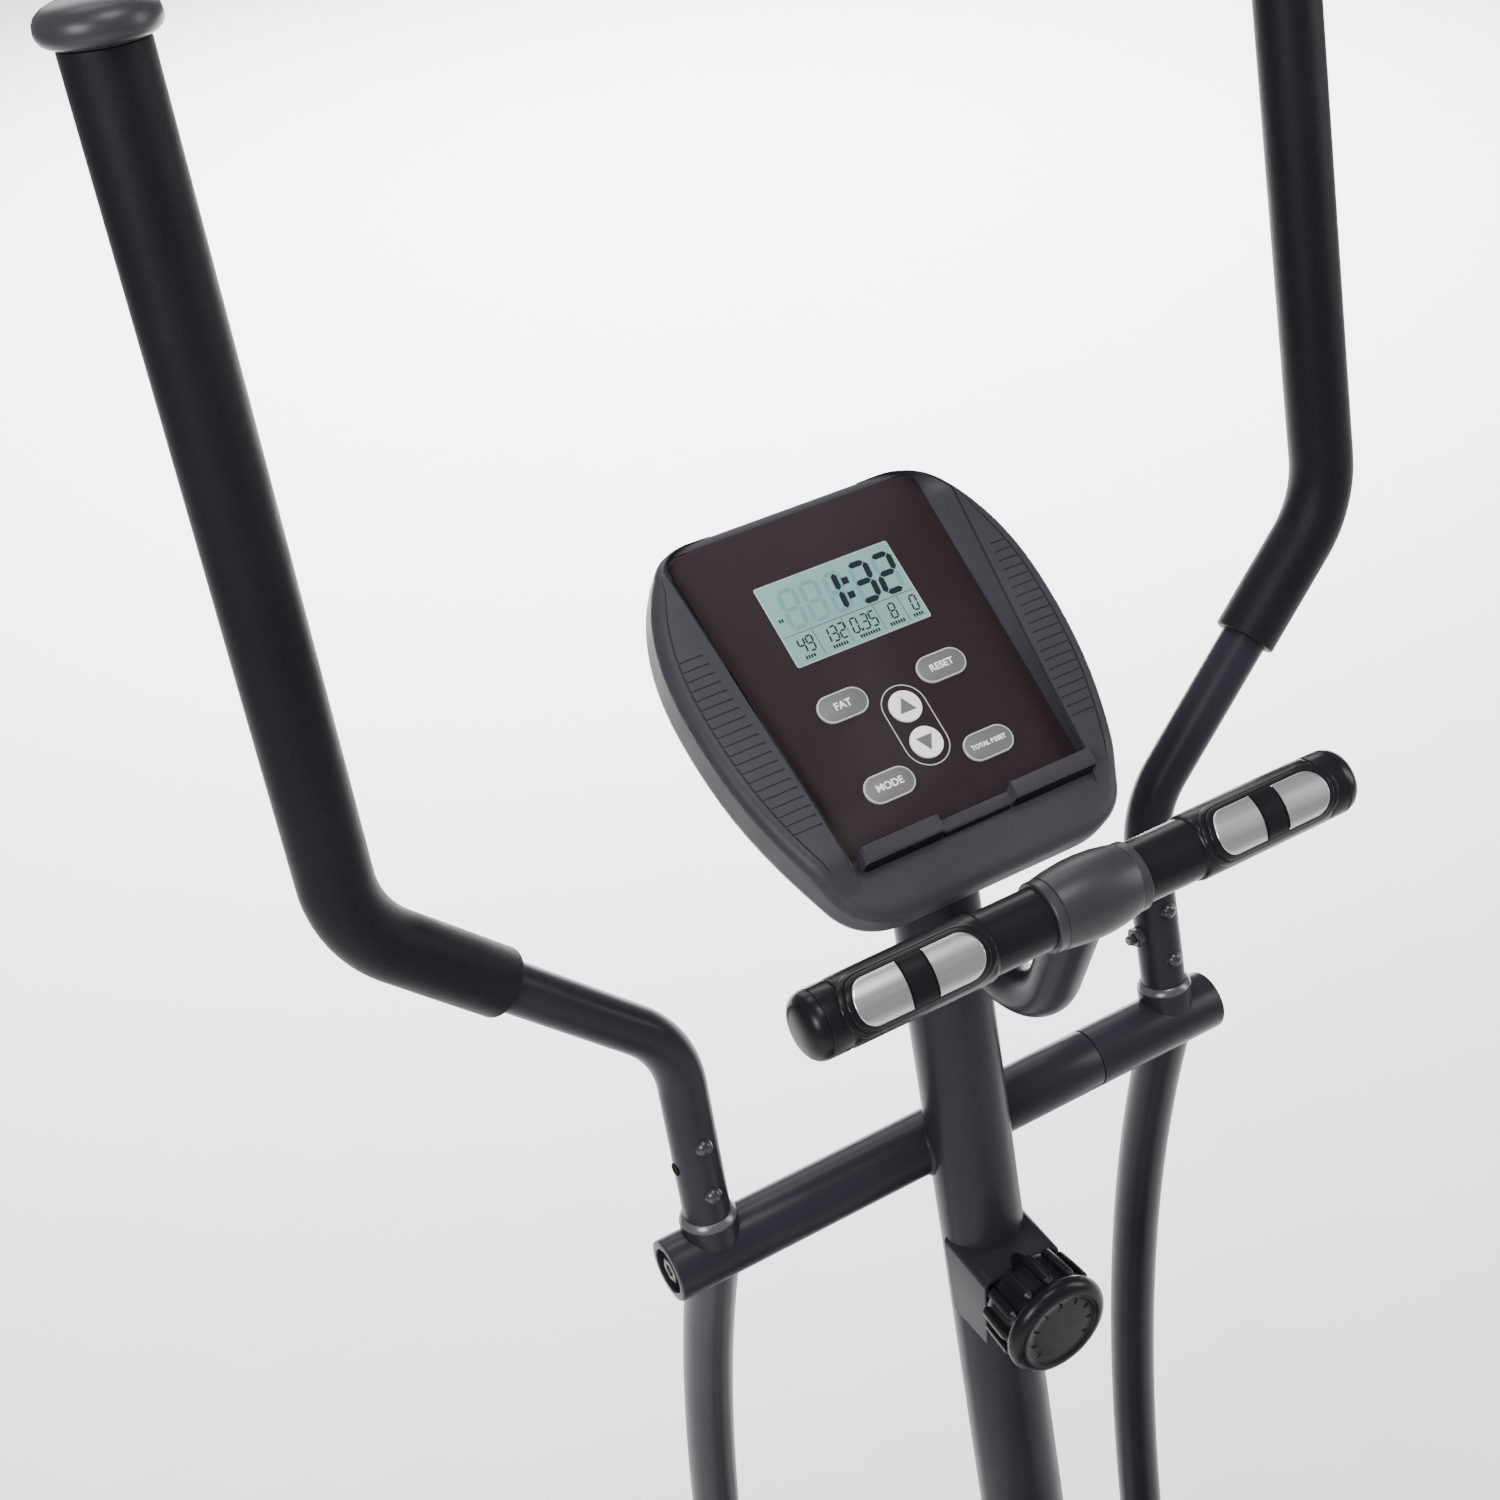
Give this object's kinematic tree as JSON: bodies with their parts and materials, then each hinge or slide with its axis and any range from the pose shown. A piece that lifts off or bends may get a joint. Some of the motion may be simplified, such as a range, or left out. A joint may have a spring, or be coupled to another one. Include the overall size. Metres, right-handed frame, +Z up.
{
  "type": "elliptical trainer",
  "caption": "Rear-drive elliptical trainer: swing arms with foam-gripped handlebars, a fixed pulse bar, console, tension knob, crank housing and footplates on a steel base.",
  "frame": {"origin": "on the floor, under the middle of the machine's bounding box", "axes": "+Z up; +Y the way the user faces, towards the upright; +X to the user's right"},
  "size_m": [0.633, 1.108, 1.5839],
  "materials": {
    "frame_paint": "satin powder coat",
    "foam": "closed-cell foam, matte",
    "black_plastic": "fine-textured moulded plastic",
    "console_plastic": "fine-textured moulded plastic",
    "overlay_film": "printed film",
    "lcd": "display window",
    "button_grey": "smooth",
    "button_white": "smooth",
    "steel": "brushed",
    "cast_iron": "turned rim, painted web",
    "black_rubber": "matte"
  },
  "bodies": {
    "frame": {"bar_sleeve": "black_plastic", "brake_cable": "black_rubber", "console_back": "black_plastic", "console_face": "console_plastic", "console_mount": "frame_paint", "display_screen": "lcd", "drive_belt": "black_rubber", "face_overlay": "overlay_film", "front_cap_left": "black_plastic", "front_cap_right": "black_plastic", "front_stabilizer": "frame_paint", "housing_left": "black_plastic", "housing_right": "black_plastic", "knob_bracket": "frame_paint", "main_frame": "frame_paint", "pivot_crossbar": "frame_paint", "pulse_bar": "foam", "pulse_carrier_left": "black_plastic", "pulse_carrier_right": "black_plastic", "pulse_contact_left_inner": "steel", "pulse_contact_left_outer": "steel", "pulse_contact_right_inner": "steel", "pulse_contact_right_outer": "steel", "pulse_stem": "frame_paint", "rear_cap_left": "black_plastic", "rear_cap_right": "black_plastic", "rear_stabilizer": "frame_paint", "upright_post": "frame_paint"},
    "swing_left": {"swing_arm_left": "frame_paint", "handlebar_left": "frame_paint", "foam_grip_left": "foam", "grip_cap_left": "black_plastic"},
    "swing_right": {"swing_arm_right": "frame_paint", "handlebar_right": "frame_paint", "foam_grip_right": "foam", "grip_cap_right": "black_plastic"},
    "pedal_left": {"pedal_link_left": "frame_paint", "pedal_pin_left": "steel", "footplate_left": "black_plastic"},
    "pedal_right": {"pedal_link_right": "frame_paint", "pedal_pin_right": "steel", "footplate_right": "black_plastic"},
    "crank": {"crank_axle": "steel", "crank_arm_left": "steel", "crank_arm_right": "steel", "crank_disc_left": "console_plastic", "crank_disc_right": "console_plastic", "drive_pulley": "black_plastic"},
    "fly": {"flywheel": "cast_iron"},
    "brake": {"brake_bracket": "steel"},
    "knob": {"tension_knob": "black_plastic"},
    "wheel_left": {"transport_wheel_left": "black_rubber"},
    "wheel_right": {"transport_wheel_right": "black_rubber"},
    "key_fat": {"button_fat": "button_grey"},
    "key_reset": {"button_reset": "button_grey"},
    "key_mode": {"button_mode": "button_grey"},
    "key_total_reset": {"button_total_reset": "button_grey"},
    "key_up": {"button_up": "button_white"},
    "key_down": {"button_down": "button_white"}
  },
  "joints": [
    {"name": "swing_left", "type": "hinge", "parent": "frame", "child": "swing_left", "pos_m": [-0.1528, 0.345, 0.915], "axis": [1, 0, 0], "range_deg": [-14.4, 9]},
    {"name": "swing_right", "type": "hinge", "parent": "frame", "child": "swing_right", "pos_m": [0.1528, 0.345, 0.915], "axis": [1, 0, 0], "range_deg": [-9, 14.4]},
    {"name": "pedal_left", "type": "hinge", "parent": "swing_left", "child": "pedal_left", "pos_m": [-0.1528, 0.39234, 0.27675], "axis": [1, 0, 0], "range_deg": [-9, 14.4]},
    {"name": "pedal_right", "type": "hinge", "parent": "swing_right", "child": "pedal_right", "pos_m": [0.1528, 0.33207, 0.27513], "axis": [1, 0, 0], "range_deg": [-14.4, 9]},
    {"name": "crank_spin", "type": "hinge", "parent": "frame", "child": "crank", "pos_m": [0, -0.27551, 0.29], "axis": [1, 0, 0], "continuous": true},
    {"name": "flywheel_spin", "type": "hinge", "parent": "frame", "child": "fly", "pos_m": [0, -0.06051, 0.222], "axis": [1, 0, 0], "continuous": true},
    {"name": "knob_turn", "type": "hinge", "parent": "frame", "child": "knob", "pos_m": [0, 0.31668, 0.84236], "axis": [0, -1, 0], "range_deg": [0, 290]},
    {"name": "brake_swing", "type": "hinge", "parent": "frame", "child": "brake", "pos_m": [0, 0.02749, 0.134], "axis": [1, 0, 0], "range_deg": [-8, 0]},
    {"name": "wheel_left", "type": "hinge", "parent": "frame", "child": "wheel_left", "pos_m": [-0.204, 0.535, 0.022], "axis": [1, 0, 0], "continuous": true},
    {"name": "wheel_right", "type": "hinge", "parent": "frame", "child": "wheel_right", "pos_m": [0.204, 0.535, 0.022], "axis": [1, 0, 0], "continuous": true},
    {"name": "press_fat", "type": "slide", "parent": "frame", "child": "key_fat", "axis": [0, 0.5519, -0.8339], "range_m": [0, 0.001], "stiffness_N_per_m": 600, "springref_m": -0.0005},
    {"name": "press_reset", "type": "slide", "parent": "frame", "child": "key_reset", "axis": [0, 0.5519, -0.8339], "range_m": [0, 0.001], "stiffness_N_per_m": 600, "springref_m": -0.0005},
    {"name": "press_mode", "type": "slide", "parent": "frame", "child": "key_mode", "axis": [0, 0.5519, -0.8339], "range_m": [0, 0.001], "stiffness_N_per_m": 600, "springref_m": -0.0005},
    {"name": "press_total_reset", "type": "slide", "parent": "frame", "child": "key_total_reset", "axis": [0, 0.5519, -0.8339], "range_m": [0, 0.001], "stiffness_N_per_m": 600, "springref_m": -0.0005},
    {"name": "press_up", "type": "slide", "parent": "frame", "child": "key_up", "axis": [0, 0.5519, -0.8339], "range_m": [0, 0.001], "stiffness_N_per_m": 600, "springref_m": -0.0005},
    {"name": "press_down", "type": "slide", "parent": "frame", "child": "key_down", "axis": [0, 0.5519, -0.8339], "range_m": [0, 0.001], "stiffness_N_per_m": 600, "springref_m": -0.0005}
  ],
  "couplings": [
    {"joint": "swing_right", "follows": "swing_left", "ratio": -1},
    {"joint": "pedal_left", "follows": "swing_left", "ratio": -1},
    {"joint": "pedal_right", "follows": "swing_left", "ratio": 1},
    {"joint": "flywheel_spin", "follows": "crank_spin", "ratio": 7.8667},
    {"joint": "brake_swing", "follows": "knob_turn", "ratio": -0.027586}
  ]
}
